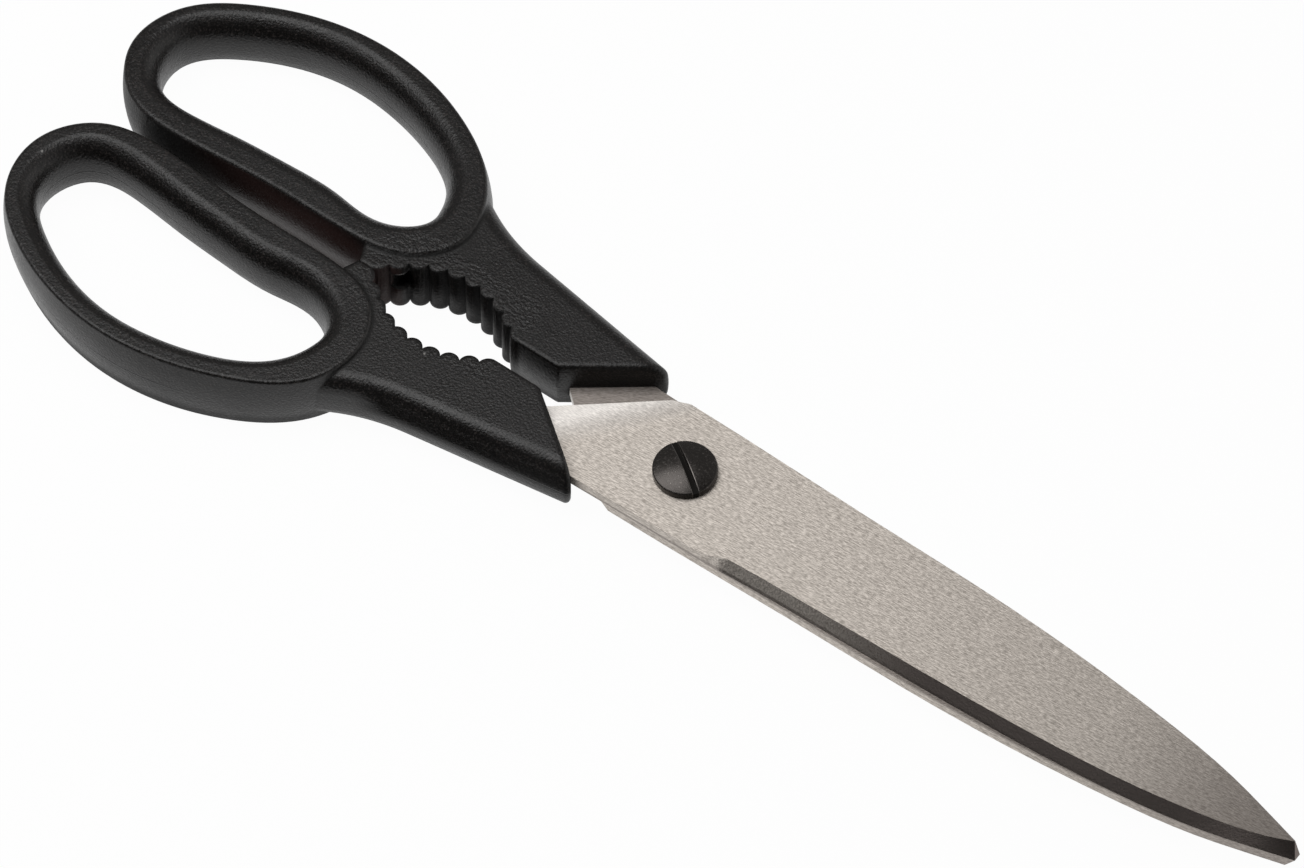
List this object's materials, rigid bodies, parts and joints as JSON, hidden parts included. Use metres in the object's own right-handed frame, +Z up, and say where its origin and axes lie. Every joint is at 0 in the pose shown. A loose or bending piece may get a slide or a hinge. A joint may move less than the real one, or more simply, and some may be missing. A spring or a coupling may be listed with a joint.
{
  "type": "kitchen shears",
  "caption": "Kitchen shears with two ground steel blades, black plastic finger loops, a slotted pivot screw and a toothed nutcracker jaw, lying closed.",
  "frame": {"origin": "on the table under the middle of the closed shears' bounding box", "axes": "+X from the finger loops towards the blade tips, +Y towards the right-hand loop, whose blade is the lower one, +Z up from the table"},
  "size_m": [0.2616, 0.081, 0.013],
  "materials": {
    "blade_steel": "satin, ground along the blade",
    "handle_plastic": "fine spark-eroded grain",
    "screw_steel": "blackened, polished by wear",
    "washer_steel": "plain spring steel"
  },
  "bodies": {
    "right_half": {"lower_blade": "blade_steel", "right_handle": "handle_plastic", "pivot_screw": "screw_steel", "pivot_nut": "screw_steel", "spring_washer": "washer_steel"},
    "left_half": {"upper_blade": "blade_steel", "left_handle": "handle_plastic"}
  },
  "joints": [
    {"name": "pivot", "type": "hinge", "parent": "right_half", "child": "left_half", "pos_m": [0.00347, 0, 0.0065], "axis": [0, 0, 1], "range_deg": [0, 85]}
  ]
}
